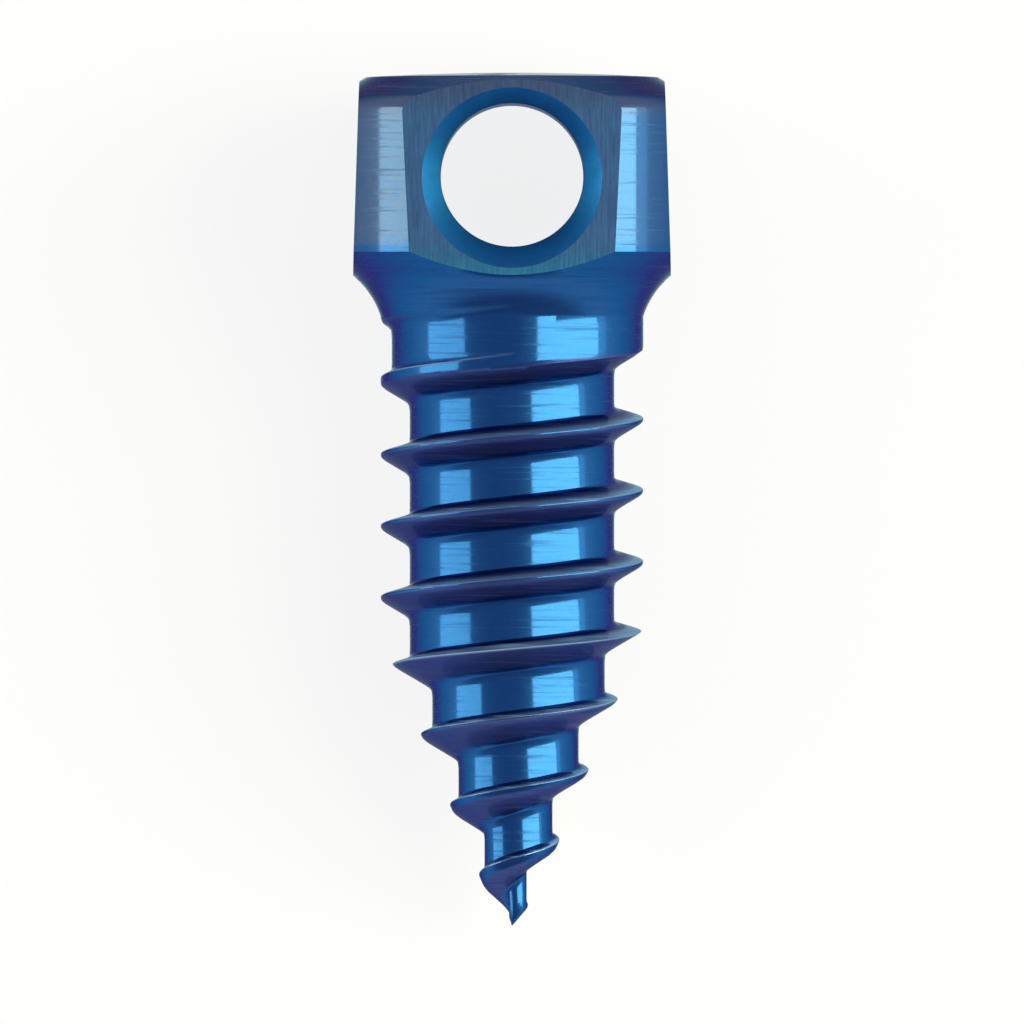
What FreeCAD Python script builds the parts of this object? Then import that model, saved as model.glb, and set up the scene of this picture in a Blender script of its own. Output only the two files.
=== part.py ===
import FreeCAD, Part
import Sketcher
import math
import os

Vector = FreeCAD.Vector

NODE = "bone_anchor_screw"

doc = FreeCAD.newDocument("BoneAnchorScrew")

# Driving sizes, in millimetres and degrees.
# Heights are measured along the screw's axis from the point of the tip.
SIZES = {
    "overall_length": 14.93,
    "head_diameter": 6.60,
    "dome_rise": 0.076,
    "dome_diameter": 5.11,
    "top_chamfer_angle": 30.0,
    "head_corner_rounding": 0.35,
    "flats_across_top": 5.33,
    "flat_draft": 1.85,
    "shoulder_height": 11.785,
    "shoulder_angle": 52.0,
    "shoulder_cone_length": 0.61,
    "neck_height": 10.67,
    "hole_diameter": 2.50,
    "hole_height": 13.125,
    "countersink_diameter": 3.144,
    "countersink_angle": 45.0,
    "thread_diameter": 4.60,
    "thread_depth": 0.51,
    "pitch": 1.25,
    "crest_land": 0.084,
    "load_flank": 15.0,
    "leading_flank": 30.0,
    "root_rounding": 0.12,
    "top_groove_height": 9.41,
    "runout_start": 53.0,
    "runout_turns": 0.62,
    "runout_rise": 0.878,
    "root_taper_height": 4.865,
    "tip_groove_height": 0.035,
    "tip_root_radius": 0.0174,
    "tip_turns": 0.45,
    "crest_taper_height": 5.04,
    "tip_crest_radius": 0.212,
    "point_angle": 40.6,
    "rest_foot_height": 11.375,
    "rest_crest_height": 5.385,
}
sheet = doc.addObject("Spreadsheet::Sheet", "Sizes")
for row, (alias, amount) in enumerate(SIZES.items(), start=1):
    sheet.set(f"A{row}", alias)
    sheet.set(f"B{row}", str(amount))
    sheet.setAlias(f"B{row}", alias)
doc.recompute()

# Sizes that follow from the driving ones, as expressions on the sheet.
LENGTH = "Sizes.overall_length"
HEAD_RADIUS = "Sizes.head_diameter / 2"
DOME_RADIUS = "Sizes.dome_diameter / 2"
DOME_EDGE = "(Sizes.overall_length - Sizes.dome_rise)"
TOP_CORNER = f"{DOME_EDGE} - ({HEAD_RADIUS} - {DOME_RADIUS}) * tan(Sizes.top_chamfer_angle)"
CONE_FOOT_RADIUS = f"{HEAD_RADIUS} - Sizes.shoulder_cone_length * sin(Sizes.shoulder_angle)"
CONE_FOOT = "Sizes.shoulder_height - Sizes.shoulder_cone_length * cos(Sizes.shoulder_angle)"
CREST_RADIUS = "Sizes.thread_diameter / 2"
THREAD_DEPTH = "Sizes.thread_depth"
ROOT_RADIUS = f"({CREST_RADIUS} - {THREAD_DEPTH})"
LOAD_SLOPE = "tan(Sizes.load_flank)"
LEADING_SLOPE = "tan(Sizes.leading_flank)"
FLANK_SPREAD = f"({LOAD_SLOPE} + {LEADING_SLOPE})"
GROOVE_FLOOR = f"(Sizes.pitch - Sizes.crest_land - {THREAD_DEPTH} * {FLANK_SPREAD})"
CREST_TAPER = f"(({CREST_RADIUS} - Sizes.tip_crest_radius) / Sizes.crest_taper_height)"
POINT_EDGE = f"(Sizes.tip_crest_radius / (tan(Sizes.point_angle) - {CREST_TAPER}))"
POINT_RADIUS = f"{POINT_EDGE} * tan(Sizes.point_angle)"

# The groove's turn about the axis, in degrees from the +X side, follows its height.
GROOVE_TURN = "({height} - Sizes.top_groove_height) / Sizes.pitch * 360"
RUNOUT_HEIGHT = "(Sizes.top_groove_height + Sizes.pitch * Sizes.runout_start / 360)"
TAPER_RUN = "(Sizes.root_taper_height - Sizes.tip_groove_height)"
ROOT_TAPER = f"(({ROOT_RADIUS} - Sizes.tip_root_radius) / {TAPER_RUN})"

# The cutter reaches a little past the crests, and less far than where its own turns would meet.
CREST_CLEARANCE = 0.03
TURN_CLEARANCE = 0.012
STEP_DOWN = f"({ROOT_TAPER} * Sizes.pitch)"
RIDGE_FOOT = f"(Sizes.pitch - {GROOVE_FLOOR})"
RIDGE_HEIGHT = f"(({RIDGE_FOOT} - {LEADING_SLOPE} * {STEP_DOWN}) / {FLANK_SPREAD})"
PARALLEL_REACH = f"({THREAD_DEPTH} + {CREST_CLEARANCE})"
LOWER_REACH = f"({RIDGE_HEIGHT} - {TURN_CLEARANCE})"
UPPER_REACH = f"({RIDGE_HEIGHT} + {STEP_DOWN} - {TURN_CLEARANCE})"

# The taper's path runs this far outside the groove's floor, so it turns the section little.
PATH_OFFSET = 1.0

# The end of the groove starts this many degrees back, inside the taper's cut.
TIP_LEAD_IN = 15

# How closely the outer box follows the surface.
BOUNDS_DEFLECTION = 0.02


def number(expression):
    """Value of an expression on the sheet, as a plain number."""
    value = sheet.evalExpression(expression)
    return float(getattr(value, "Value", value))


def origin_feature(body, role):
    """The body's own origin plane or axis with this role."""
    return next(item for item in body.Origin.OriginFeatures if item.Role == role)


class Corner:
    """A corner of an outline: its distance from the axis and its height, as expressions.

    rounding is the radius of the arc that softens the corner, or None for a sharp one.
    """

    def __init__(self, name, radius, height, rounding=None):
        self.name = name
        self.radius = radius
        self.height = height
        self.rounding = rounding
        self.point = Vector(number(radius), number(height), 0)


class Outline:
    """A closed sketch in the plane through the screw's axis.

    turn is an expression for the plane's angle about the axis, from the +X side.
    """

    def __init__(self, body, name, turn=None):
        self.sketch = body.newObject("Sketcher::SketchObject", name)
        self.sketch.AttachmentSupport = [(origin_feature(body, "XZ_Plane"), "")]
        self.sketch.MapMode = "FlatFace"
        if turn is not None:
            about_axis = FreeCAD.Rotation(Vector(0, 1, 0), number(turn))
            self.sketch.AttachmentOffset = FreeCAD.Placement(Vector(), about_axis)
            self.sketch.setExpression("AttachmentOffset.Rotation.Angle", turn)

    def constrain(self, *parts):
        """Add one constraint and return its index."""
        return self.sketch.addConstraint(Sketcher.Constraint(*parts))

    def dimension(self, name, expression, kind, *parts):
        """Add one dimension and bind it to the sheet."""
        index = self.constrain(kind, *parts, number(expression))
        self.sketch.renameConstraint(index, name)
        self.sketch.setExpression(f"Constraints.{name}", expression)

    def place(self, geometry, end, corner):
        """Fix one end of an edge at a corner's radius and height."""
        if corner.radius == "0":
            self.constrain("PointOnObject", geometry, end, -2)
        else:
            self.dimension(f"{corner.name}_radius", corner.radius, "DistanceX", -1, 1, geometry, end)
        if corner.height == "0":
            self.constrain("PointOnObject", geometry, end, -1)
        else:
            self.dimension(f"{corner.name}_height", corner.height, "DistanceY", -1, 1, geometry, end)

    def add_arc(self, start, finish, centre):
        """An arc under half a turn; returns its index and which of its ends are start and finish."""
        first, last = start - centre, finish - centre
        ends = (1, 2)
        if first.cross(last).z < 0:
            first, last = last, first
            ends = (2, 1)
        circle = Part.Circle(centre, Vector(0, 0, 1), first.Length)
        angles = [math.atan2(arm.y, arm.x) for arm in (first, last)]
        return self.sketch.addGeometry(Part.ArcOfCircle(circle, *angles), False), ends

    def close(self, corners, arcs=None):
        """Join the corners in order with straight edges, or with the arcs that are named.

        arcs maps the name of the corner where an arc starts to the arc's centre and its kind:
        "smooth" where the next edge runs on from it, "centred" where its centre is on the axis.
        """
        arcs = arcs or {}
        count = len(corners)
        arrive = [corner.point for corner in corners]
        leave = [corner.point for corner in corners]
        centres = {}
        for i, corner in enumerate(corners):
            if corner.rounding is None:
                continue
            back = (corners[i - 1].point - corner.point).normalize()
            ahead = (corners[(i + 1) % count].point - corner.point).normalize()
            half_angle = back.getAngle(ahead) / 2
            radius = number(corner.rounding)
            arrive[i] = corner.point + back * (radius / math.tan(half_angle))
            leave[i] = corner.point + ahead * (radius / math.tan(half_angle))
            centres[i] = corner.point + (back + ahead).normalize() * (radius / math.sin(half_angle))
        edges = []
        for i, corner in enumerate(corners):
            start, finish = leave[i], arrive[(i + 1) % count]
            if corner.name in arcs:
                edges.append(self.add_arc(start, finish, arcs[corner.name][0]))
            else:
                segment = Part.LineSegment(start, finish)
                edges.append((self.sketch.addGeometry(segment, False), (1, 2)))
        for i, corner in enumerate(corners):
            (before, before_ends), (after, after_ends) = edges[i - 1], edges[i]
            if i in centres:
                rounding, ends = self.add_arc(arrive[i], leave[i], centres[i])
                self.constrain("Tangent", before, before_ends[1], rounding, ends[0])
                self.constrain("Tangent", after, after_ends[0], rounding, ends[1])
                self.dimension(f"{corner.name}_rounding", corner.rounding, "Radius", rounding)
                sharp = self.sketch.addGeometry(Part.Point(corner.point), True)
                self.place(sharp, 1, corner)
                self.constrain("PointOnObject", sharp, 1, before)
                self.constrain("PointOnObject", sharp, 1, after)
            else:
                previous = corners[i - 1].name
                smooth = previous in arcs and arcs[previous][1] == "smooth"
                joint = "Tangent" if smooth else "Coincident"
                self.constrain(joint, before, before_ends[1], after, after_ends[0])
                self.place(after, after_ends[0], corner)
            if corner.name in arcs and arcs[corner.name][1] == "centred":
                self.constrain("PointOnObject", after, 3, -2)


def turned_blank(body):
    """The bar turned to its outer form, before the thread, the flats and the hole."""
    corners = [
        Corner("tip", "0", "0"),
        Corner("point_edge", POINT_RADIUS, POINT_EDGE),
        Corner("taper_top", CREST_RADIUS, "Sizes.crest_taper_height"),
        Corner("neck_top", CREST_RADIUS, "Sizes.neck_height"),
        Corner("cone_foot", CONE_FOOT_RADIUS, CONE_FOOT),
        Corner("shoulder", HEAD_RADIUS, "Sizes.shoulder_height"),
        Corner("head_corner", HEAD_RADIUS, TOP_CORNER, "Sizes.head_corner_rounding"),
        Corner("dome_edge", DOME_RADIUS, DOME_EDGE),
        Corner("crown", "0", LENGTH),
    ]
    points = {corner.name: corner.point for corner in corners}

    # The shoulder's hollow runs smoothly into its cone.
    slope = math.radians(number("Sizes.shoulder_angle"))
    outward = Vector(math.cos(slope), -math.sin(slope), 0)
    chord = points["cone_foot"] - points["neck_top"]
    hollow_radius = -chord.Length**2 / (2 * chord.dot(outward))
    hollow_centre = points["cone_foot"] + outward * hollow_radius

    # The crown is a shallow dome, centred on the axis.
    rise = number("Sizes.dome_rise")
    dome_radius = (number(DOME_RADIUS) ** 2 + rise**2) / (2 * rise)
    dome_centre = points["crown"] - Vector(0, dome_radius, 0)

    outline = Outline(body, "BlankOutline")
    outline.close(corners, {"neck_top": (hollow_centre, "smooth"), "dome_edge": (dome_centre, "centred")})
    blank = body.newObject("PartDesign::Revolution", "Blank")
    blank.Profile = outline.sketch
    blank.ReferenceAxis = (outline.sketch, ["V_Axis"])
    blank.Angle = 360
    doc.recompute()
    return blank


def groove_outline(body, name, height, root, lower_reach, upper_reach, lead_in=0):
    """The thread cutter's section at a height: a flat floor between two unlike flanks.

    The root under the leading flank is rounded. lead_in is the angle, in degrees, by which the
    section is turned up the thread.
    """
    height = f"({height} + {lead_in} / 360 * Sizes.pitch)"
    floor_low = f"{height} - {GROOVE_FLOOR} / 2"
    floor_high = f"{height} + {GROOVE_FLOOR} / 2"
    corners = [
        Corner("load_root", root, floor_low),
        Corner("load_edge", f"{root} + {lower_reach}", f"{floor_low} - {lower_reach} * {LOAD_SLOPE}"),
        Corner("leading_edge", f"{root} + {upper_reach}", f"{floor_high} + {upper_reach} * {LEADING_SLOPE}"),
        Corner("leading_root", root, floor_high, "Sizes.root_rounding"),
    ]
    outline = Outline(body, name, GROOVE_TURN.format(height=height))
    outline.close(corners)
    doc.recompute()
    return outline.sketch


def cut_along_helix(body, name, sketch, height, angle="0", down=False):
    """Carry the cutter's section round the axis at the thread's pitch."""
    helix = body.newObject("PartDesign::SubtractiveHelix", name)
    helix.Profile = sketch
    helix.ReferenceAxis = (sketch, ["V_Axis"])
    helix.Mode = "pitch-height-angle"
    helix.setExpression("Pitch", "Sizes.pitch")
    helix.setExpression("Height", height)
    helix.setExpression("Angle", angle)
    helix.Reversed = down
    doc.recompute()
    body.Tip = helix


def taper_path():
    """The path of the taper's cutter: a helix that closes on the axis as it goes down."""
    path = doc.addObject("Part::Helix", "TaperPath")
    path.setExpression("Pitch", "Sizes.pitch")
    path.setExpression("Height", TAPER_RUN)
    path.setExpression("Radius", f"{ROOT_RADIUS} + {PATH_OFFSET}")
    path.setExpression("Angle", f"-atan({ROOT_TAPER})")
    top = "Sizes.root_taper_height"
    about_axis = FreeCAD.Rotation(Vector(0, 0, 1), number(GROOVE_TURN.format(height=top)))
    downwards = FreeCAD.Rotation(Vector(1, 0, 0), 180)
    path.Placement = FreeCAD.Placement(Vector(0, 0, number(top)), about_axis * downwards)
    doc.recompute()
    return path


def parallel_thread(body):
    """The single-start thread where its root is parallel, from the taper up to the run-out."""
    top = "Sizes.root_taper_height"
    section = groove_outline(body, "ParallelGroove", top, ROOT_RADIUS, PARALLEL_REACH, PARALLEL_REACH)
    cut_along_helix(body, "ParallelThread", section, f"{RUNOUT_HEIGHT} - {top}")


def thread_runout(body):
    """The thread's run-out, where the cutter backs away from the axis under the neck."""
    section = groove_outline(body, "RunoutGroove", RUNOUT_HEIGHT, ROOT_RADIUS, PARALLEL_REACH, PARALLEL_REACH)
    retreat = "atan(Sizes.runout_rise / Sizes.pitch)"
    cut_along_helix(body, "ThreadRunout", section, "Sizes.runout_turns * Sizes.pitch", retreat)


def tapering_thread(body):
    """The thread on the tapering tip, where the cutter closes on the axis."""
    path = taper_path()
    top = "Sizes.root_taper_height"
    section = groove_outline(body, "TaperGroove", top, ROOT_RADIUS, LOWER_REACH, UPPER_REACH)
    taper = body.newObject("PartDesign::SubtractivePipe", "TaperThread")
    taper.Profile = section
    taper.Spine = (path, [f"Edge{i}" for i in range(1, len(path.Shape.Edges) + 1)])
    taper.Mode = "Frenet"
    doc.recompute()
    body.Tip = taper


def tip_relief(body):
    """The end of the groove, which runs out past the point."""
    height = "Sizes.tip_groove_height"
    root = "Sizes.tip_root_radius"
    section = groove_outline(body, "TipGroove", height, root, LOWER_REACH, UPPER_REACH, TIP_LEAD_IN)
    cut_along_helix(body, "TipRelief", section, "Sizes.tip_turns * Sizes.pitch", down=True)


def flat_depth(height):
    """Distance of the head's flats from the axis at a height, as an expression."""
    return f"(Sizes.flats_across_top / 2 + ({LENGTH} - {height}) * tan(Sizes.flat_draft))"


def head_flats(body):
    """Four flats milled on the head, each leaning out a little towards the shoulder."""
    over = f"({LENGTH} + 1)"
    under = "(Sizes.neck_height + Sizes.shoulder_height) / 2"
    clear = "Sizes.head_diameter"
    corners = [
        Corner("flat_top", flat_depth(over), over),
        Corner("flat_foot", flat_depth(under), under),
        Corner("clear_foot", clear, under),
        Corner("clear_top", clear, over),
    ]
    outline = Outline(body, "FlatOutline")
    outline.close(corners)
    flat = body.newObject("PartDesign::Pocket", "HeadFlat")
    flat.Profile = outline.sketch
    flat.SideType = "Symmetric"
    flat.setExpression("Length", "2 * Sizes.head_diameter")
    doc.recompute()
    pattern = body.newObject("PartDesign::PolarPattern", "HeadFlats")
    pattern.Originals = [flat]
    pattern.Axis = (origin_feature(body, "Z_Axis"), [""])
    pattern.Angle = 360
    pattern.Occurrences = 4
    body.Tip = pattern
    doc.recompute()


def cross_hole(body):
    """The hole through the head, from the front flat to the back one, countersunk at both ends."""
    height = "Sizes.hole_height"
    radius = "Sizes.hole_diameter / 2"
    reach = "Sizes.head_diameter / 2"
    spread = "tan(Sizes.countersink_angle)"
    throat = f"({flat_depth(height)} - (Sizes.countersink_diameter / 2 - {radius}) / {spread})"
    mouth = f"{radius} + ({reach} - {throat}) * {spread}"
    corners = [
        Corner("far_axis", f"-{reach}", height),
        Corner("near_axis", reach, height),
        Corner("near_mouth", reach, f"{height} + {mouth}"),
        Corner("near_throat", throat, f"{height} + {radius}"),
        Corner("far_throat", f"-{throat}", f"{height} + {radius}"),
        Corner("far_mouth", f"-{reach}", f"{height} + {mouth}"),
    ]
    outline = Outline(body, "HoleOutline", "-90")
    outline.close(corners)
    hole = body.newObject("PartDesign::Groove", "CrossHole")
    hole.Profile = outline.sketch
    hole.ReferenceAxis = (outline.sketch, ["Edge1"])
    hole.Angle = 360
    doc.recompute()
    body.Tip = hole


def lying_down(shape):
    """Placement of the screw at rest, its front flat up and its head towards +Y.

    It lies on the foot of its back flat and on the lowest full crest of the thread, with the
    middle of its outer box over the origin.
    """
    foot_depth = number(flat_depth("Sizes.rest_foot_height"))
    run = number("Sizes.rest_foot_height - Sizes.rest_crest_height")
    lean = math.degrees(math.atan2(foot_depth - number(CREST_RADIUS), run))
    turned = FreeCAD.Rotation(Vector(1, 0, 0), lean - 90)
    bounds = FreeCAD.BoundBox()
    for point in shape.tessellate(BOUNDS_DEFLECTION)[0]:
        bounds.add(turned.multVec(point))
    return FreeCAD.Placement(Vector(-bounds.Center.x, -bounds.Center.y, -bounds.ZMin), turned)


def check(body):
    """Stop unless every object is built and the screw is one sound solid."""
    for item in doc.Objects:
        if "Invalid" in item.State or "Error" in item.State:
            raise RuntimeError(f"{item.Name} was not built")
        if item.TypeId == "Sketcher::SketchObject" and not item.FullyConstrained:
            raise RuntimeError(f"{item.Name} is not fully constrained")
    shape = body.Shape
    if shape.isNull() or not shape.isValid() or len(shape.Solids) != 1:
        raise RuntimeError(f"{body.Label} is not one sound solid")


# Each step must take material off the one before.
body = doc.addObject("PartDesign::Body", "Screw")
body.Label = NODE
turned_blank(body)
steps = (parallel_thread, thread_runout, tapering_thread, tip_relief, head_flats, cross_hole)
for step in steps:
    volume = body.Shape.Volume
    step(body)
    if not 0 < body.Shape.Volume < volume:
        raise RuntimeError(f"{step.__name__} removed nothing")

body.Placement = lying_down(body.Shape)
doc.recompute()
check(body)
os.makedirs("parts", exist_ok=True)
body.Shape.exportStep(f"parts/{NODE}.step")
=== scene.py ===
"""Looks of the bone anchor screw: its anodised surface, the ground it lies on, the lights and the camera."""

import logging
import math
from dataclasses import dataclass, field
from enum import Enum
from typing import Any, Union

import bpy
from mathutils import Matrix, Vector

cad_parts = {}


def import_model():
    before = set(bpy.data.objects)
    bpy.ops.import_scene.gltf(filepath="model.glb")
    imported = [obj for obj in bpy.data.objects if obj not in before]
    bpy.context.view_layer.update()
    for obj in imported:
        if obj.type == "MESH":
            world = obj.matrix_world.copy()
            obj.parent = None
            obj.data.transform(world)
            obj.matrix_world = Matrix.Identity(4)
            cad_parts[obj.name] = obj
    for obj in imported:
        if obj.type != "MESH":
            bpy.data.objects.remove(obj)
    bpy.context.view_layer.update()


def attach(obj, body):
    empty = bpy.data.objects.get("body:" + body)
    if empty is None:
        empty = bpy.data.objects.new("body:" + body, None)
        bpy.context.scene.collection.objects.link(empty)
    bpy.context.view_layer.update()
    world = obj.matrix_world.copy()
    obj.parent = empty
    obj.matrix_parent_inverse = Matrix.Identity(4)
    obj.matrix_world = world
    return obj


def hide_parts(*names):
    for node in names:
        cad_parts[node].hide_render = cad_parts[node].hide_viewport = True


log = logging.getLogger("bone_anchor_screw")

MM = 0.001
NODE = "bone_anchor_screw"
PIECE = "anodised_screw"
WHITE = (1.0, 1.0, 1.0, 1.0)
ROW_PLACES = ("turn", "floor", "lead", "load", "close")
STORED = ROW_PLACES + ("head", "sweep")

Term = Union["Value", float]
Colour = Union[bpy.types.NodeSocket, tuple[float, float, float, float]]


class Value:
    """A number socket of a node tree, with Python's operators adding Math nodes."""

    def __init__(self, bench: "Bench", socket: bpy.types.NodeSocket) -> None:
        """Wrap one output socket."""
        self.bench = bench
        self.socket = socket

    def _math(self, operation: str, *terms: Term) -> "Value":
        """Add one Math node on these terms."""
        node = self.bench.add("ShaderNodeMath", {"operation": operation}, dict(enumerate(terms)))
        return Value(self.bench, node.outputs[0])

    def __add__(self, other: Term) -> "Value":
        """self + other."""
        return self._math("ADD", self, other)

    __radd__ = __add__

    def __sub__(self, other: Term) -> "Value":
        """self - other."""
        return self._math("SUBTRACT", self, other)

    def __rsub__(self, other: Term) -> "Value":
        """other - self."""
        return self._math("SUBTRACT", other, self)

    def __mul__(self, other: Term) -> "Value":
        """self * other."""
        return self._math("MULTIPLY", self, other)

    __rmul__ = __mul__

    def __truediv__(self, other: Term) -> "Value":
        """self / other."""
        return self._math("DIVIDE", self, other)

    def __pow__(self, other: Term) -> "Value":
        """self ** other."""
        return self._math("POWER", self, other)

    def __abs__(self) -> "Value":
        """abs(self)."""
        return self._math("ABSOLUTE", self)

    def least(self, other: Term) -> "Value":
        """The smaller of the two."""
        return self._math("MINIMUM", self, other)

    def most(self, other: Term) -> "Value":
        """The larger of the two."""
        return self._math("MAXIMUM", self, other)

    def least_rounded(self, other: Term, width: Term) -> "Value":
        """The smaller of the two, rounded where they cross."""
        return self._math("SMOOTH_MIN", self, other, width)

    def most_rounded(self, other: Term, width: Term) -> "Value":
        """The larger of the two, rounded where they cross."""
        return self._math("SMOOTH_MAX", self, other, width)

    def clamped(self, low: Term = 0.0, high: Term = 1.0) -> "Value":
        """The value kept between two limits."""
        return self.most(low).least(high)

    def below(self, other: Term) -> "Value":
        """1 where the value is less than the other."""
        return self._math("LESS_THAN", self, other)

    def sine(self) -> "Value":
        """Sine of the value in radians."""
        return self._math("SINE", self)

    def cosine(self) -> "Value":
        """Cosine of the value in radians."""
        return self._math("COSINE", self)

    def ramp(self, start: float, end: float) -> "Value":
        """A soft change between two values.

        Args:
            start: Where the change starts.
            end: Where it ends.

        Returns:
            0 up to the start, and 1 from the end on.
        """
        node = self.bench.add(
            "ShaderNodeMapRange",
            {"interpolation_type": "SMOOTHSTEP"},
            {"Value": self, "From Min": start, "From Max": end},
        )
        return Value(self.bench, node.outputs[0])


class Bench:
    """A node tree under construction."""

    def __init__(self, tree: bpy.types.NodeTree) -> None:
        """Work on an empty tree."""
        self.tree = tree

    def add(
        self, kind: str, settings: dict[str, Any] | None = None, inputs: dict[Any, Any] | None = None
    ) -> bpy.types.Node:
        """Add a node.

        Args:
            kind: The node's type.
            settings: Its properties, set before its sockets.
            inputs: Values or links for its sockets, by name or place.

        Returns:
            The new node.
        """
        node = self.tree.nodes.new(kind)
        for name, setting in (settings or {}).items():
            setattr(node, name, setting)
        for key, value in (inputs or {}).items():
            socket = node.inputs[key]
            if isinstance(value, Value):
                self.tree.links.new(value.socket, socket)
            elif isinstance(value, bpy.types.NodeSocket):
                self.tree.links.new(value, socket)
            else:
                socket.default_value = value
        return node

    def colour(
        self, amount: Term, first: Colour, second: Colour, multiplied: bool = False
    ) -> bpy.types.NodeSocket:
        """One colour laid over another, or multiplied into it.

        Args:
            amount: How much of the second shows, from 0 to 1.
            first: The colour underneath.
            second: The colour on top.
            multiplied: Whether the second multiplies the first.

        Returns:
            The mixed colour.
        """
        settings = {"data_type": "RGBA", "blend_type": "MULTIPLY" if multiplied else "MIX"}
        return self.add("ShaderNodeMix", settings, {"Factor": amount, 6: first, 7: second}).outputs[2]

    def attribute(self, name: str) -> Value:
        """A number stored on the mesh's points."""
        node = self.add("GeometryNodeInputNamedAttribute", {"data_type": "FLOAT"}, {"Name": name})
        return Value(self, node.outputs[0])


@dataclass(frozen=True)
class Tint:
    """A colour in linear light."""

    red: float
    green: float
    blue: float

    def socket(self) -> tuple[float, float, float, float]:
        """The colour as a socket takes it."""
        return (self.red, self.green, self.blue, 1.0)


class Grain(Enum):
    """Which way the fine marks of a machined surface run."""

    TURNED = "round the screw's axis"
    MILLED = "along the screw's axis"
    BORED = "round the cross hole"


@dataclass(frozen=True)
class ScrewSizes:
    """Sizes of the screw in millimetres and degrees, heights from the point of its tip."""

    length: float = 14.93
    head_radius: float = 3.30
    dome_radius: float = 2.555
    dome_rise: float = 0.076
    top_chamfer_angle: float = 30.0
    head_corner_rounding: float = 0.35
    flat_at_top: float = 2.665
    flat_draft: float = 1.85
    shoulder_height: float = 11.785
    shoulder_angle: float = 52.0
    shoulder_cone_length: float = 0.61
    neck_height: float = 10.67
    hole_radius: float = 1.25
    hole_height: float = 13.125
    countersink_radius: float = 1.572
    crest_radius: float = 2.30
    root_radius: float = 1.79
    pitch: float = 1.25
    crest_land: float = 0.084
    load_flank: float = 15.0
    leading_flank: float = 30.0
    top_groove_height: float = 9.41
    runout_start: float = 53.0
    runout_rise: float = 0.878
    root_taper_height: float = 4.865
    root_taper: float = 0.367
    crest_taper_height: float = 5.04
    crest_taper: float = 0.4143
    point_angle: float = 40.6
    tip_root_radius: float = 0.0174
    rest_foot_height: float = 11.375
    rest_crest_height: float = 5.385

    @property
    def floor_width(self) -> float:
        """What the crest's land and the two flanks leave of the pitch."""
        depth = self.crest_radius - self.root_radius
        return self.pitch - self.crest_land - depth * (self.load_slope + self.lead_slope)

    @property
    def lead_slope(self) -> float:
        """How much height the leading flank takes for each millimetre outwards."""
        return math.tan(math.radians(self.leading_flank))

    @property
    def load_slope(self) -> float:
        """How much height the load flank takes for each millimetre outwards."""
        return math.tan(math.radians(self.load_flank))

    def flat_depth(self, height: float) -> float:
        """Distance of the head's flats from the axis at a height."""
        return self.flat_at_top + (self.length - height) * math.tan(math.radians(self.flat_draft))

    @property
    def lean(self) -> float:
        """The axis's angle to the ground, in radians, as the screw lies."""
        drop = self.flat_depth(self.rest_foot_height) - self.crest_radius
        return math.atan2(drop, self.rest_foot_height - self.rest_crest_height)

    def resting_place(self) -> Matrix:
        """From the upright screw, tip at the origin, to the screw as it lies.

        Returns:
            The transform in millimetres, with the outer box's middle over the origin.
        """
        turned = Matrix.Rotation(self.lean - math.pi / 2, 4, "X")
        foot = turned @ Vector((0, self.flat_depth(self.rest_foot_height), self.rest_foot_height))
        crown_edge = turned @ Vector((0, self.dome_radius, self.length - self.dome_rise))
        return Matrix.Translation((0, -crown_edge.y / 2, -foot.z)) @ turned


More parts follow.
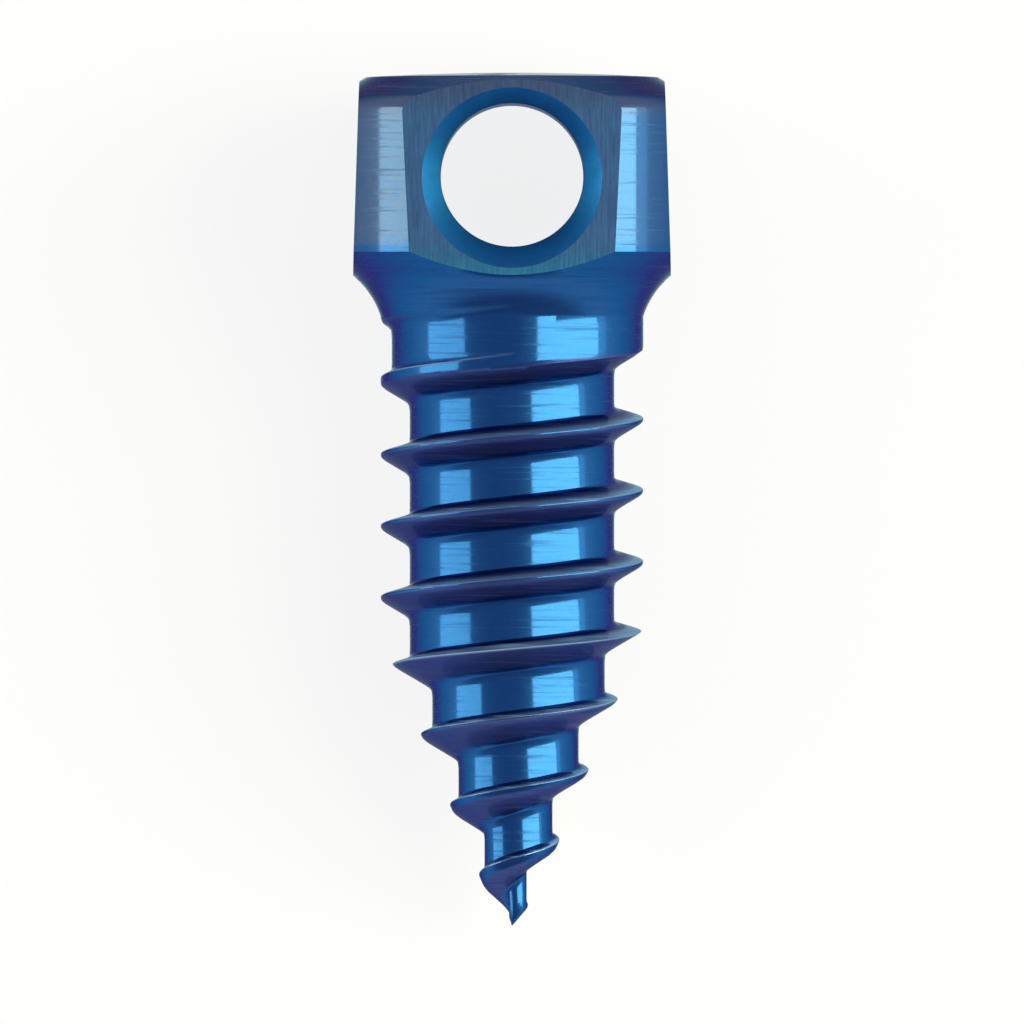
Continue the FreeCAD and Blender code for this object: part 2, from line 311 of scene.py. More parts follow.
@dataclass
class Rows:
    """One line of points up the screw, from which every column of its mesh is made.

    Each row is either a place in the thread's section or a point of the turned head.
    """

    sizes: ScrewSizes
    turns: range = range(9, -2, -1)
    floor_steps: tuple[float, ...] = (0.0, 0.55, 0.86, 0.95)
    lead_steps: tuple[float, ...] = (0.0, 0.06, 0.13, 0.22, 0.4, 0.6, 0.74, 0.82, 0.88, 0.93, 0.97)
    load_steps: tuple[float, ...] = (0.0, 0.06, 0.14, 0.24, 0.36, 0.5, 0.7, 0.84, 0.93)
    close_steps: tuple[float, ...] = (0.0, 0.05, 0.14, 0.45)
    neck_steps: int = 30
    cone_steps: int = 22
    side_steps: int = 24
    corner_steps: int = 12
    chamfer_steps: int = 26
    dome_steps: int = 14

    def thread(self) -> list[tuple[float, ...]]:
        """The rows of the thread, from below the tip to above the neck.

        Returns:
            Each row's turn, and how far it has passed the floor, the two flanks and the next floor.
        """
        rows = []
        stretches = (self.floor_steps, self.lead_steps, self.load_steps, self.close_steps)
        for turn in self.turns:
            for done, steps in enumerate(stretches):
                ahead = len(stretches) - done - 1
                rows += [(turn, *[1] * done, step, *[0] * ahead) for step in steps]
        return rows

    def head(self) -> list[tuple[float, float]]:
        """The turned form of the shoulder and the head.

        Returns:
            The points' radii and heights, from the neck to the crown's centre.
        """
        sizes = self.sizes
        slope = math.radians(sizes.shoulder_angle)
        foot = Vector((
            sizes.head_radius - sizes.shoulder_cone_length * math.sin(slope),
            sizes.shoulder_height - sizes.shoulder_cone_length * math.cos(slope),
        ))
        neck = Vector((sizes.crest_radius, sizes.neck_height))
        outward = Vector((math.cos(slope), -math.sin(slope)))
        chord = foot - neck
        radius = -chord.length_squared / (2 * chord.dot(outward))
        centre = foot + outward * radius
        points = self._arc(centre, neck, foot, self.neck_steps)
        shoulder = Vector((sizes.head_radius, sizes.shoulder_height))
        points += self._line(foot, shoulder, self.cone_steps)
        chamfer = math.tan(math.radians(sizes.top_chamfer_angle))
        dome_edge = Vector((sizes.dome_radius, sizes.length - sizes.dome_rise))
        corner = Vector((sizes.head_radius, dome_edge.y - (sizes.head_radius - dome_edge.x) * chamfer))
        setback = sizes.head_corner_rounding * math.tan(math.radians(90 - sizes.top_chamfer_angle) / 2)
        below = corner - Vector((0, setback))
        above = corner + (dome_edge - corner).normalized() * setback
        rounding = Vector((sizes.head_radius - sizes.head_corner_rounding, below.y))
        points += self._line(shoulder, below, self.side_steps)
        points += self._arc(rounding, below, above, self.corner_steps)
        points += self._line(above, dome_edge, self.chamfer_steps)
        ball = (sizes.dome_radius**2 + sizes.dome_rise**2) / (2 * sizes.dome_rise)
        for step in range(1, self.dome_steps + 1):
            reach = sizes.dome_radius * (1 - step / self.dome_steps)
            points.append((reach, sizes.length - ball + math.sqrt(ball**2 - reach**2)))
        return points

    @staticmethod
    def _line(start: Vector, end: Vector, steps: int) -> list[tuple[float, float]]:
        """Points on a straight line, without its start."""
        return [tuple(start.lerp(end, step / steps)) for step in range(1, steps + 1)]

    @staticmethod
    def _arc(centre: Vector, start: Vector, end: Vector, steps: int) -> list[tuple[float, float]]:
        """Points on an arc, with its start.

        Args:
            centre: The arc's centre.
            start: Its first point.
            end: Its last point.
            steps: How many parts it has.

        Returns:
            The points' radii and heights.
        """
        first, last = start - centre, end - centre
        points = []
        for step in range(steps + 1):
            arm = first.lerp(last, step / steps).normalized() * first.length
            points.append(tuple(centre + arm))
        return points


@dataclass(frozen=True)
class Ridge:
    """One ridge of the thread: the groove's passes at its two sides, and its apex."""

    root_here: Value
    root_above: Value
    root_below: Value
    floor_high: Value
    floor_high_below: Value
    floor_low_above: Value
    apex: Value


@dataclass
class Screw:
    """The screw: its turned and threaded body, its milled flats and its cross hole."""

    sizes: ScrewSizes = field(default_factory=ScrewSizes)
    crest_rounding: float = 0.14
    root_rounding: float = 0.26
    load_root_rounding: float = 0.34
    ridge_rounding: float = 0.05
    point_rounding: float = 0.02
    runout_widening: float = 0.15
    runout_exit: float = 0.6
    runout_exit_slope: float = 6.0
    pole_radius: float = 0.01
    cut_fade: tuple[float, float] = (0.02, 0.08)
    # The flank mask, which flank_fade shapes, carries the painted dark shade on the thread's flanks.
    flank_fade: tuple[float, float] = (0.04, 0.16)
    # The crest mask, which crest_fade and crest_line shape, carries a painted highlight along the crests.
    crest_fade: tuple[float, float] = (0.03, 0.07)
    crest_line: float = 0.03
    merge_distance: float = 0.0004
    sharp_angle: float = 32.0
    columns: int = 150
    hole_columns: int = 128
    lip_rounding: float = 0.04
    lip_steps: int = 4
    lip_angle: float = 45.0
    flats_overrun: float = 1.0
    hole_overrun: float = 0.2

    def blank(self) -> bpy.types.Object:
        """A grid of points in columns about the axis, with each row's place stored on it.

        Returns:
            The grid, open along its edges until the thread's tree has placed its points.
        """
        rows = Rows(self.sizes)
        places = [(1.0, 0.0, (*place, 0.0)) for place in rows.thread()]
        places += [(radius, height, (*[0.0] * len(ROW_PLACES), 1.0)) for radius, height in rows.head()]
        points, stored = [], []
        for column in range(self.columns + 1):
            sweep = column / self.columns
            angle = 2 * math.pi * sweep
            for radius, height, place in places:
                points.append((radius * math.cos(angle), radius * math.sin(angle), height))
                stored.append((*place, sweep))
        count = len(places)
        faces = []
        for start in range(0, self.columns * count, count):
            for here in range(start, start + count - 1):
                faces.append((here, here + count, here + count + 1, here + 1))
        mesh = bpy.data.meshes.new("blank")
        mesh.from_pydata(points, [], faces)
        for name, values in zip(STORED, zip(*stored)):
            mesh.attributes.new(name, "FLOAT", "POINT").data.foreach_set("value", values)
        piece = bpy.data.objects.new("blank", mesh)
        bpy.context.scene.collection.objects.link(piece)
        return piece

    def thread_inputs(self) -> dict[str, float]:
        """The sizes that the thread's tree takes.

        Returns:
            Each named input's value, in millimetres or turns.
        """
        sizes = self.sizes
        return {
            "Pitch": sizes.pitch,
            "Crest Radius": sizes.crest_radius,
            "Root Radius": sizes.root_radius,
            "Floor Width": sizes.floor_width,
            "Top Groove Height": sizes.top_groove_height,
            "Runout Start": sizes.runout_start / 360,
            "Runout Rise": sizes.runout_rise,
            "Root Taper Height": sizes.root_taper_height,
            "Root Taper": sizes.root_taper,
            "Tip Root Radius": sizes.tip_root_radius,
            "Crest Taper Height": sizes.crest_taper_height,
            "Crest Taper": sizes.crest_taper,
            "Neck Height": sizes.neck_height,
            "Crest Rounding": self.crest_rounding,
            "Root Rounding": self.root_rounding,
            "Load Root Rounding": self.load_root_rounding,
        }

    def thread_tree(self, material: bpy.types.Material) -> bpy.types.NodeTree:
        """The tree that gives every point its place on the thread, the neck and the head.

        Args:
            material: The finish of the turned surface.

        Returns:
            The tree, with the thread's sizes as its named inputs.
        """
        tree = bpy.data.node_groups.new("screw form", "GeometryNodeTree")
        bench = Bench(tree)
        tree.interface.new_socket("Geometry", in_out="INPUT", socket_type="NodeSocketGeometry")
        for name in self.thread_inputs():
            tree.interface.new_socket(name, in_out="INPUT", socket_type="NodeSocketFloat")
        tree.interface.new_socket("Geometry", in_out="OUTPUT", socket_type="NodeSocketGeometry")
        entry = bench.add("NodeGroupInput")
        size_of = {name: Value(bench, entry.outputs[name]) for name in self.thread_inputs()}
        position, masks = self._thread_surface(bench, size_of)
        placed = bench.add(
            "GeometryNodeSetPosition", {}, {"Geometry": entry.outputs[0], "Position": position}
        )
        for name, mask in masks.items():
            placed = bench.add(
                "GeometryNodeStoreNamedAttribute",
                {"data_type": "FLOAT", "domain": "POINT"},
                {"Geometry": placed.outputs[0], "Name": name, "Value": mask},
            )
        last = placed
        for kind, inputs in (
            ("GeometryNodeMergeByDistance", {"Distance": self.merge_distance}),
            ("GeometryNodeSetShadeSmooth", {}),
            ("GeometryNodeRealizeInstances", {}),
            ("GeometryNodeSetMaterial", {"Material": material}),
        ):
            last = bench.add(kind, {}, {"Geometry": last.outputs[0], **inputs})
        bench.add("NodeGroupOutput", {}, {0: last.outputs[0]})
        return tree

    @staticmethod
    def _past_runout(size_of: dict[str, Value], height: Value) -> Value:
        """How many turns past the start of the run-out the groove is at this height."""
        climbed = (height - size_of["Top Groove Height"]) / size_of["Pitch"]
        return (climbed - size_of["Runout Start"]).most(0.0)

    def _root(self, size_of: dict[str, Value], height: Value) -> Value:
        """The groove's floor where its middle is at one height.

        Args:
            size_of: The tree's inputs.
            height: The height of the groove's middle.

        Returns:
            The floor's radius.
        """
        past = self._past_runout(size_of, height)
        backed = past * size_of["Runout Rise"] + (past - self.runout_exit).most(0.0) * self.runout_exit_slope
        tapered = (size_of["Root Taper Height"] - height).most(0.0) * size_of["Root Taper"]
        return (size_of["Root Radius"] - tapered).most(size_of["Tip Root Radius"]) + backed

    def _ridge(self, size_of: dict[str, Value], middle: Value) -> Ridge:
        """The ridge over one pass of the groove.

        Args:
            size_of: The tree's inputs.
            middle: The height of the groove's middle.

        Returns:
            The ridge.
        """
        sizes, pitch, half_floor = self.sizes, size_of["Pitch"], size_of["Floor Width"] / 2
        here, above, below = (
            self._root(size_of, place) for place in (middle, middle + pitch, middle - pitch)
        )
        high, high_below = (
            place + half_floor + self._past_runout(size_of, place) * self.runout_widening
            for place in (middle, middle - pitch)
        )
        low_above = middle + pitch - half_floor
        slopes = 1 / sizes.lead_slope + 1 / sizes.load_slope
        apex = (above - here + high / sizes.lead_slope + low_above / sizes.load_slope) / slopes
        apex = apex.most(high).least(low_above)
        return Ridge(here, above, below, high, high_below, low_above, apex)

    def _thread_surface(
        self, bench: Bench, size_of: dict[str, Value]
    ) -> tuple[bpy.types.NodeSocket, dict[str, Value]]:
        """Where each point of the screw lies, and how far it belongs to a flank or a crest.

        Args:
            bench: The tree under construction.
            size_of: The tree's inputs.

        Returns:
            The point's position, and its masks by name.
        """
        sizes, pitch, neck = self.sizes, size_of["Pitch"], size_of["Neck Height"]
        sweep, turns, on_head = (bench.attribute(name) for name in ("sweep", "turn", "head"))
        split = bench.add(
            "ShaderNodeSeparateXYZ", {}, {0: bench.add("GeometryNodeInputPosition").outputs[0]}
        )
        across_x, across_y, up = (Value(bench, split.outputs[axis]) for axis in range(3))

        middle = size_of["Top Groove Height"] + pitch * (sweep - turns)
        ridge = self._ridge(size_of, middle)
        height = (
            middle
            + bench.attribute("floor") * (ridge.floor_high - middle)
            + bench.attribute("lead") * (ridge.apex - ridge.floor_high)
            + bench.attribute("load") * (ridge.floor_low_above - ridge.apex)
            + bench.attribute("close") * (middle + pitch - ridge.floor_low_above)
        )
        # Rows past the neck all belong to the last turn, so that they meet the head's first row.
        turns = turns * height.below(neck)
        ridge = self._ridge(size_of, size_of["Top Groove Height"] + pitch * (sweep - turns))
        height = height.clamped(0.0, neck) * (1 - on_head) + up * on_head

        taper = (size_of["Crest Taper Height"] - height).most(0.0) * size_of["Crest Taper"]
        point = height * math.tan(math.radians(sizes.point_angle))
        shank = (size_of["Crest Radius"] - taper).least_rounded(point, self.point_rounding).most(0.0)
        turned = (across_x * across_x + across_y * across_y) ** 0.5
        turned = shank * (1 - on_head) + turned * on_head

        leading = ridge.root_here.most_rounded(
            ridge.root_here + (height - ridge.floor_high) / sizes.lead_slope, size_of["Root Rounding"]
        )
        load = ridge.root_above.most_rounded(
            ridge.root_above + (ridge.floor_low_above - height) / sizes.load_slope,
            size_of["Load Root Rounding"],
        )
        below = ridge.root_below + (height - ridge.floor_high_below) / sizes.lead_slope
        groove = leading.least_rounded(load, self.ridge_rounding).least(below)
        radius = turned.least_rounded(groove, size_of["Crest Rounding"]).most(0.0)
        # Rows that have reached the axis meet in one point, the tip's.
        off_axis = 1 - radius.below(self.pole_radius)
        radius = radius * off_axis
        height = height * off_axis.most(on_head)

        lower = height.below(ridge.apex)
        rise = groove - ridge.root_here * lower - ridge.root_above * (1 - lower)
        cut = (1 - (groove - turned).ramp(*self.cut_fade)) * (1 - on_head)
        over_crest = abs(height - ridge.apex - self.crest_line)
        masks = {
            # Painted shade: the flank mask darkens the flanks to purple.
            "flank": rise.ramp(*self.flank_fade) * cut,
            # Painted highlight: the crest mask lays a pale line along each crest.
            "crest": (1 - over_crest.ramp(*self.crest_fade)) * cut,
        }
        turn = sweep * (2 * math.pi)
        moved = bench.add(
            "ShaderNodeCombineXYZ", {}, {0: radius * turn.cosine(), 1: radius * turn.sine(), 2: height}
        )
        return moved.outputs[0], masks

    def milled_form(self, material: bpy.types.Material) -> bpy.types.Object:
        """The four-sided form, wider towards the tip, that the head's flats lie on.

        Args:
            material: The finish of the milled surface.

        Returns:
            The form, which passes the screw at both ends.
        """
        sizes = self.sizes
        points = []
        for height in (-self.flats_overrun, sizes.length + self.flats_overrun):
            reach = sizes.flat_depth(height)
            points += [(reach, reach, height), (-reach, reach, height)]
            points += [(-reach, -reach, height), (reach, -reach, height)]
        faces = [(3, 2, 1, 0), (4, 5, 6, 7)]
        faces += [(side, (side + 1) % 4, (side + 1) % 4 + 4, side + 4) for side in range(4)]
        return self._cutter("flats", points, faces, material)

    @staticmethod
    def _cutter(
        name: str, points: list[tuple], faces: list[tuple], material: bpy.types.Material, smooth: bool = False
    ) -> bpy.types.Object:
        """A closed form for a cut, whose faces bring their own material.

        Args:
            name: The form's name.
            points: Its corners.
            faces: The corners of each face.
            material: The finish that the cut leaves.
            smooth: Whether its faces are shaded as one curved surface.

        Returns:
            The form.
        """
        mesh = bpy.data.meshes.new(name)
        mesh.from_pydata(points, [], faces)
        mesh.materials.append(material)
        mesh.polygons.foreach_set("use_smooth", [smooth] * len(mesh.polygons))
        piece = bpy.data.objects.new(name, mesh)
        bpy.context.scene.collection.objects.link(piece)
        return piece

    def hole_cutter(self, material: bpy.types.Material) -> bpy.types.Object:
        """The form of the cross hole and of its two countersinks, along Y.

        Args:
            material: The finish of the bored surface.

        Returns:
            The form, which passes the head on both sides.
        """
        sizes = self.sizes
        throat = sizes.flat_depth(sizes.hole_height) - (sizes.countersink_radius - sizes.hole_radius)
        end = sizes.head_radius + self.hole_overrun
        shift = self.lip_rounding * math.tan(math.radians(self.lip_angle / 2))
        profile = [(sizes.hole_radius, 0.0), (sizes.hole_radius, throat / 2)]
        for step in range(self.lip_steps + 1):
            arc = math.radians(self.lip_angle * step / self.lip_steps)
            profile.append((
                sizes.hole_radius + self.lip_rounding * (1 - math.cos(arc)),
                throat - shift + self.lip_rounding * math.sin(arc),
            ))
        profile.append((sizes.hole_radius + end - throat, end))
        profile = [(radius, -depth) for radius, depth in reversed(profile)] + profile[1:]
        points, faces = [], []
        for column in range(self.hole_columns):
            angle = 2 * math.pi * column / self.hole_columns
            for radius, depth in profile:
                points.append((radius * math.cos(angle), depth, sizes.hole_height + radius * math.sin(angle)))
        count = len(profile)
        starts = [column * count for column in range(self.hole_columns)]
        for here, there in zip(starts, starts[1:] + starts[:1]):
            for row in range(count - 1):
                faces.append((here + row, here + row + 1, there + row + 1, there + row))
        faces.append(tuple(starts))
        faces.append(tuple(start + count - 1 for start in reversed(starts)))
        return self._cutter("hole", points, faces, material, smooth=True)

    def build(self, finishes: dict[Grain, bpy.types.Material]) -> bpy.types.Object:
        """Make the screw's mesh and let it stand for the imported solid.

        Args:
            finishes: The finish of the surfaces with each grain.

        Returns:
            The finished piece, at rest in the shared frame.
        """
        blank = self.blank()
        cutters = {
            "INTERSECT": self.milled_form(finishes[Grain.MILLED]),
            "DIFFERENCE": self.hole_cutter(finishes[Grain.BORED]),
        }
        form = blank.modifiers.new("form", "NODES")
        form.node_group = self.thread_tree(finishes[Grain.TURNED])
        amounts = self.thread_inputs()
        for socket in form.node_group.interface.items_tree:
            if socket.name in amounts:
                form[socket.identifier] = amounts[socket.name]
        for operation, cutter in cutters.items():
            cut = blank.modifiers.new(operation.lower(), "BOOLEAN")
            cut.operation = operation
            cut.solver = "EXACT"
            cut.material_mode = "TRANSFER"
            cut.object = cutter
        graph = bpy.context.evaluated_depsgraph_get()
        mesh = bpy.data.meshes.new_from_object(blank.evaluated_get(graph))
        blank.modifiers.clear()
        for scrap in (blank, *cutters.values()):
            bpy.data.objects.remove(scrap)
        mesh.name = PIECE
        for name in STORED:
            mesh.attributes.remove(mesh.attributes[name])
        mesh.transform(Matrix.Scale(MM, 4) @ self.sizes.resting_place())
        mesh.set_sharp_from_angle(angle=math.radians(self.sharp_angle))
        piece = bpy.data.objects.new(PIECE, mesh)
        bpy.context.scene.collection.objects.link(piece)
        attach(piece, "root")
        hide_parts(NODE)
        log.info("screw: %d faces, finishes %s", len(mesh.polygons), mesh.materials.keys())
        return piece


@dataclass(frozen=True)
class Marks:
    """Fine marks, as spots in a millimetre across and along the screw, and how much they stand out."""

    across: float
    along: float
    detail: float
    relief: float = 0.0


@dataclass(frozen=True)
class AnodisedTitanium:
    """Blue anodised titanium, turned bright, brushed where it was milled, with a painted highlight along its
    crests.
    """

    sizes: ScrewSizes
    turned_tint: Tint = Tint(0.016, 0.100, 0.30)
    deep_tint: Tint = Tint(0.012, 0.075, 0.26)
    flank_shade_tint: Tint = Tint(0.07, 0.07, 0.24)
    crown_tint: Tint = Tint(0.07, 0.085, 0.16)
    lip_highlight_tint: Tint = Tint(0.015, 0.20, 0.52)
    milled_tint: Tint = Tint(0.060, 0.150, 0.32)
    crest_highlight_tint: Tint = Tint(0.36, 0.54, 0.76)
    corner_tint: Tint = Tint(0.085, 0.125, 0.20)
    foot_reflection_tint: Tint = Tint(0.03, 0.22, 0.38)
    grazing_tint: Tint = Tint(0.04, 0.22, 0.34)
    speckle: Marks = Marks(9.0, 9.0, 3.0)
    turned_marks: Marks = Marks(0.7, 24.0, 4.0, relief=0.3)
    milled_marks: Marks = Marks(26.0, 1.6, 5.0, relief=0.35)
    bored_marks: Marks = Marks(3.0, 3.0, 3.0, relief=0.05)
    mark_depth: float = 0.004
    noise_roughness: float = 0.6
    bright_roughness: float = 0.07
    soft_roughness: float = 0.34
    milled_roughness: float = 0.36
    bored_roughness: float = 0.40
    softness: float = 0.35
    coat: float = 0.12
    coat_roughness: float = 0.1
    corner_heights: tuple[float, float] = (11.9, 12.2)
    corner_sides: tuple[float, float] = (-2.2, 2.6)
    crown_heights: tuple[float, float] = (14.2, 14.75)
    milled_crown_heights: tuple[float, float] = (14.3, 14.95)
    foot_reflection_heights: tuple[float, float] = (11.75, 12.5)

    def material(self, grain: Grain) -> bpy.types.Material:
        """Build the finish's nodes.

        Args:
            grain: Which way the surface was machined.

        Returns:
            The finish.
        """
        finish = bpy.data.materials.new(f"anodised_titanium_{grain.name.lower()}")
        finish.use_nodes = True
        finish.node_tree.nodes.clear()
        bench = Bench(finish.node_tree)
        axes = self._own_axes(bench)
        speckle = self._noise(bench, axes, self.speckle)
        kind = {
            Grain.TURNED: self.turned_marks,
            Grain.MILLED: self.milled_marks,
            Grain.BORED: self.bored_marks,
        }[grain]
        marks = self._noise(bench, axes, kind)
        if grain is Grain.MILLED:
            colour = self._milled_colour(bench, axes, speckle, marks)
            roughness = self.milled_roughness + (marks - 0.5) * 0.30
        elif grain is Grain.BORED:
            # Painted highlight: the bore and its countersinks get a lighter copy of the blue, standing for
            # the lamps' reflection there.
            colour = bench.colour(marks, self.lip_highlight_tint.socket(), self.turned_tint.socket())
            roughness = self.bored_roughness + (marks - 0.5) * 0.1
        else:
            flank = self._mask(bench, "flank")
            colour = self._turned_colour(bench, axes, flank, speckle, marks)
            roughness = self.bright_roughness + marks.ramp(0.50, 0.70) * 0.30 + flank * 0.30
        bump = bench.add(
            "ShaderNodeBump",
            {},
            {"Strength": kind.relief, "Distance": self.mark_depth * MM, "Height": marks},
        )
        shared = {
            "Base Color": colour,
            "Metallic": 1.0,
            "Specular Tint": self.grazing_tint.socket(),
            "Coat Weight": self.coat,
            "Coat Roughness": self.coat_roughness,
            "Normal": bump.outputs[0],
        }
        blurs = (roughness, roughness + (self.soft_roughness - self.bright_roughness))
        bright, soft = (
            bench.add("ShaderNodeBsdfPrincipled", {}, {**shared, "Roughness": blur}).outputs[0]
            for blur in blurs
        )
        whole = bench.add("ShaderNodeMixShader", {}, {0: self.softness, 1: bright, 2: soft})
        bench.add("ShaderNodeOutputMaterial", {}, {"Surface": whole.outputs[0]})
        return finish

    @staticmethod
    def _mask(bench: Bench, name: str) -> Value:
        """A mask stored on the mesh's points."""
        return Value(bench, bench.add("ShaderNodeAttribute", {"attribute_name": name}).outputs["Fac"])

    def _own_axes(self, bench: Bench) -> tuple[Value, Value, Value]:
        """The screw's own axes.

        Args:
            bench: The finish's tree.

        Returns:
            How far a point lies from the tip sideways, in depth and in height, in millimetres.
        """
        coordinates = bench.add("ShaderNodeTexCoord").outputs["Object"]
        place = self.sizes.resting_place()
        from_tip = bench.add(
            "ShaderNodeVectorMath", {"operation": "SUBTRACT"}, {0: coordinates, 1: place.translation * MM}
        )
        reaches = []
        for direction in place.to_3x3().col:
            product = bench.add(
                "ShaderNodeVectorMath", {"operation": "DOT_PRODUCT"}, {0: from_tip.outputs[0], 1: direction}
            )
            reaches.append(Value(bench, product.outputs["Value"]) * (1 / MM))
        return tuple(reaches)

    def _noise(self, bench: Bench, axes: tuple[Value, Value, Value], marks: Marks) -> Value:
        """Noise stretched as a kind of mark is.

        Args:
            bench: The finish's tree.
            axes: The place on the screw.
            marks: The kind of mark.

        Returns:
            The noise, from 0 to 1 and mostly about 0.5.
        """
        side, depth, height = axes
        vector = bench.add(
            "ShaderNodeCombineXYZ",
            {},
            {0: side * marks.across, 1: depth * marks.across, 2: height * marks.along},
        )
        noise = bench.add(
            "ShaderNodeTexNoise",
            {"noise_dimensions": "3D"},
            {
                "Vector": vector.outputs[0],
                "Scale": 1.0,
                "Detail": marks.detail,
                "Roughness": self.noise_roughness,
            },
        )
        return Value(bench, noise.outputs[0])

    def _turned_colour(
        self, bench: Bench, axes: tuple[Value, Value, Value], flank: Value, speckle: Value, marks: Value
    ) -> bpy.types.NodeSocket:
        """Clouded blue, with painted dark purple shade on the flanks, purple round the crown, a painted
        highlight along the crests, and greyer on the head's corners, more so towards the screw's -X side.

        Args:
            bench: The finish's tree.
            axes: The place on the screw.
            flank: How far the place belongs to the thread's flanks.
            speckle: Noise that breaks up the edges of each tint.
            marks: The turning marks.

        Returns:
            The colour.
        """
        side, _, height = axes
        cloud = speckle.ramp(0.3, 0.7) * 0.3 + marks.ramp(0.4, 0.7) * 0.5
        colour = bench.colour(cloud, self.turned_tint.socket(), self.deep_tint.socket())
        # Painted shade: the flanks turn dark purple, in place of the dark surroundings they would reflect.
        colour = bench.colour(flank * 0.7, colour, self.flank_shade_tint.socket())
        # Painted highlight: a pale blue line along each crest, where the lamps would glint.
        colour = bench.colour(self._mask(bench, "crest") * 0.9, colour, self.crest_highlight_tint.socket())
        # Greyer over the head above the shoulder, more so towards the screw's -X side.
        corner = (height + speckle * 0.3).ramp(*self.corner_heights)
        corner = corner * (1 - side.ramp(*self.corner_sides) * 0.6)
        colour = bench.colour(corner * (speckle * 0.6 + 0.35), colour, self.corner_tint.socket())
        crown = (height + speckle * 0.4).ramp(*self.crown_heights) * 0.85
        return bench.colour(crown, colour, self.crown_tint.socket())

    def _milled_colour(
        self, bench: Bench, axes: tuple[Value, Value, Value], speckle: Value, marks: Value
    ) -> bpy.types.NodeSocket:
        """Slate blue, with worn metal towards the crown and a painted brighter teal reflection towards the
        shoulder.

        Args:
            bench: The finish's tree.
            axes: The place on the screw.
            speckle: Noise that breaks up the edges of each tint.
            marks: The milling marks.

        Returns:
            The colour.
        """
        height = axes[2]
        # Painted reflection: the flats turn a brighter teal towards the shoulder, in place of the light their
        # foot would reflect.
        foot = (1 - (height + speckle * 0.9).ramp(*self.foot_reflection_heights)) * 0.9
        crown = (height + speckle * 0.5).ramp(*self.milled_crown_heights) * 0.6
        face = bench.colour(foot, self.milled_tint.socket(), self.foot_reflection_tint.socket())
        face = bench.colour(crown, face, self.crown_tint.socket())
        shade = (marks - 0.5) * 0.9 + 1.0
        grey = bench.add("ShaderNodeCombineColor", {}, {0: shade, 1: shade, 2: shade}).outputs[0]
        return bench.colour(1.0, face, grey, multiplied=True)


def seen(bench: Bench) -> Value:
    """Tell the rays that show the surroundings: from the camera, in gloss and through glass.

    Args:
        bench: The tree under construction.

    Returns:
        1 for those rays.
    """
    path = bench.add("ShaderNodeLightPath")
    rays = [Value(bench, path.outputs[f"Is {kind} Ray"]) for kind in ("Camera", "Glossy", "Transmission")]
    return rays[0].most(rays[1]).most(rays[2])


@dataclass(frozen=True)
class Ground:
    """The plain white floor that the screw lies on."""

    half_width: float = 0.6
    paint: Tint = Tint(0.82, 0.82, 0.82)
    shown_white: float = 0.85

    def build(self) -> bpy.types.Object:
        """Lay the floor: white to the camera and in the metal, with the screw's soft shadow.

        Returns:
            The floor.
        """
        reach = self.half_width
        corners = [(-reach, -reach, 0), (reach, -reach, 0), (reach, reach, 0), (-reach, reach, 0)]
        mesh = bpy.data.meshes.new("ground")
        mesh.from_pydata(corners, [], [(0, 1, 2, 3)])
        paint = bpy.data.materials.new("ground")
        paint.use_nodes = True
        paint.node_tree.nodes.clear()
        bench = Bench(paint.node_tree)
        matt = bench.add("ShaderNodeBsdfDiffuse", {}, {"Color": self.paint.socket()})
        glow = bench.add("ShaderNodeEmission", {}, {"Color": WHITE, "Strength": 1.0})
        shown = seen(bench) * self.shown_white
        mixed = bench.add("ShaderNodeMixShader", {}, {0: shown, 1: matt.outputs[0], 2: glow.outputs[0]})
        bench.add("ShaderNodeOutputMaterial", {}, {"Surface": mixed.outputs[0]})
        mesh.materials.append(paint)
        floor = bpy.data.objects.new("ground", mesh)
        bpy.context.scene.collection.objects.link(floor)
        log.info("ground laid")
        return floor


@dataclass(frozen=True)
class Softbox:
    """A soft lamp at an angle about the screw's length, from straight above towards +X."""

    name: str
    start: float
    end: float
    brightness: float
    tint: Tint
    distance: float = 0.25
    length: float = 0.17
    along: float = 0.08
    power: float = math.pi**2 / 3

    def build(self, target: Vector) -> bpy.types.Object:
        """Hang the lamp.

        Args:
            target: The point it faces.

        Returns:
            The lamp.
        """
        middle = math.radians((self.start + self.end) / 2)
        spread = math.radians(self.end - self.start)
        lamp = bpy.data.lights.new(self.name, "AREA")
        lamp.shape = "RECTANGLE"
        lamp.size = 2 * self.distance * math.tan(spread / 2)
        lamp.size_y = self.length
        lamp.color = (self.tint.red, self.tint.green, self.tint.blue)
        lamp.energy = self.brightness * lamp.size * lamp.size_y * self.power
        place = Vector((math.sin(middle), self.along, math.cos(middle))) * self.distance
        away = place.normalized()
        across = Vector((0, 1, 0)).cross(away).normalized()
        turned = Matrix((across, away.cross(across), away)).transposed().to_4x4()
        hung = bpy.data.objects.new(self.name, lamp)
        hung.matrix_world = Matrix.Translation(target + place) @ turned
        bpy.context.scene.collection.objects.link(hung)
        return hung


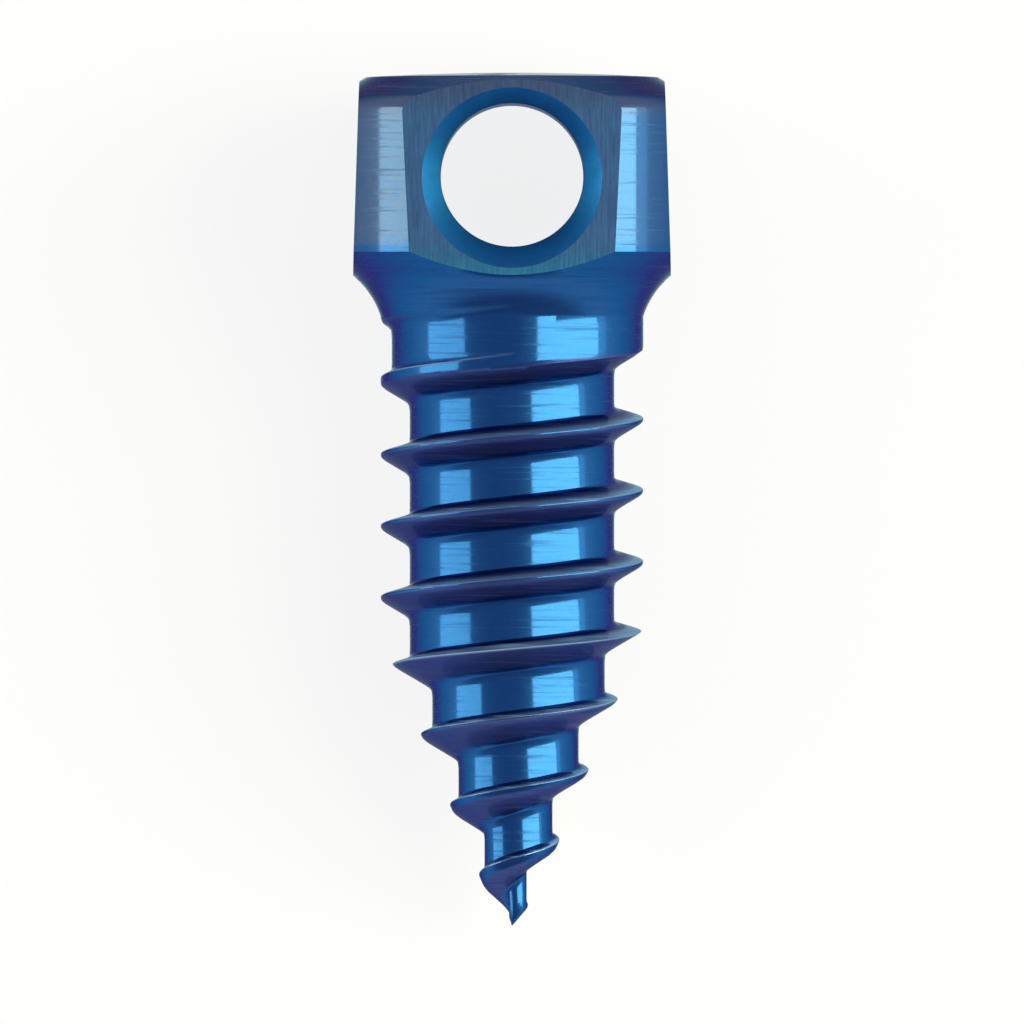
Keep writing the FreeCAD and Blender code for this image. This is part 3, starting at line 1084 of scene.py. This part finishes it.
@dataclass
class Studio:
    """The lamps, the surroundings and the camera."""

    sizes: ScrewSizes
    frame_width: float = 17.92
    aim_height: float = 7.245
    distance: float = 700.0
    lamps: tuple[Softbox, ...] = (
        Softbox("left box", -89, -48, 3.0, Tint(1.0, 1.0, 0.66)),
        Softbox("right box", 22, 82, 5.6, Tint(1.0, 1.0, 0.60)),
        Softbox("right wall", 83, 112, 0.9, Tint(0.70, 1.0, 0.80)),
    )
    sky: Tint = Tint(0.38, 0.38, 0.50)
    foot_wall: Tint = Tint(0.36, 0.27, 0.36)
    foot_wall_reach: tuple[float, float] = (0.35, 0.95)
    horizon_reach: tuple[float, float] = (0.0, 0.45)
    sensor: float = 36.0
    clip: tuple[float, float] = (0.01, 10.0)

    def light(self) -> None:
        """Hang the lamps and set the surroundings."""
        target = Vector((0, 0, self.sizes.head_radius * MM))
        for lamp in self.lamps:
            lamp.build(target)
        world = bpy.data.worlds.new("studio")
        world.use_nodes = True
        world.node_tree.nodes.clear()
        bench = Bench(world.node_tree)
        ray = bench.add("ShaderNodeTexCoord").outputs["Generated"]
        split = bench.add("ShaderNodeSeparateXYZ", {}, {0: ray})
        footward, up = Value(bench, split.outputs[1]) * -1.0, Value(bench, split.outputs[2])
        on_wall = footward.ramp(*self.foot_wall_reach)
        around = bench.colour(on_wall, self.sky.socket(), self.foot_wall.socket())
        whole = bench.colour(up.ramp(*self.horizon_reach), WHITE, around)
        shown = bench.add("ShaderNodeBackground", {}, {"Color": whole, "Strength": 1.0})
        bench.add("ShaderNodeOutputWorld", {}, {"Surface": shown.outputs[0]})
        bpy.context.scene.world = world
        log.info("studio lit")

    def camera(self) -> bpy.types.Object:
        """Look at the front flat, square to the screw's axis, with the head up.

        Returns:
            The camera.
        """
        place = self.sizes.resting_place()
        aim = place @ Vector((0, 0, self.aim_height)) * MM
        axis = place.to_3x3()
        lens = bpy.data.cameras.new("camera")
        lens.sensor_width = self.sensor
        lens.lens = lens.sensor_width * self.distance / self.frame_width
        lens.clip_start, lens.clip_end = self.clip
        camera = bpy.data.objects.new("camera", lens)
        right, towards, up = axis.col[0], -axis.col[1], axis.col[2]
        turned = Matrix((right, up, towards)).transposed().to_4x4()
        camera.matrix_world = Matrix.Translation(aim + towards * self.distance * MM) @ turned
        bpy.context.scene.collection.objects.link(camera)
        bpy.context.scene.camera = camera
        log.info("camera placed")
        return camera


def main() -> None:
    """Build the object and its stage in order."""
    logging.basicConfig(level=logging.INFO, format="%(message)s")
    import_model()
    sizes = ScrewSizes()
    titanium = AnodisedTitanium(sizes)
    Screw(sizes).build({grain: titanium.material(grain) for grain in Grain})
    Ground().build()
    studio = Studio(sizes)
    studio.light()
    studio.camera()
    bpy.context.scene.view_settings.view_transform = "Standard"


if __name__ == "__main__":
    main()
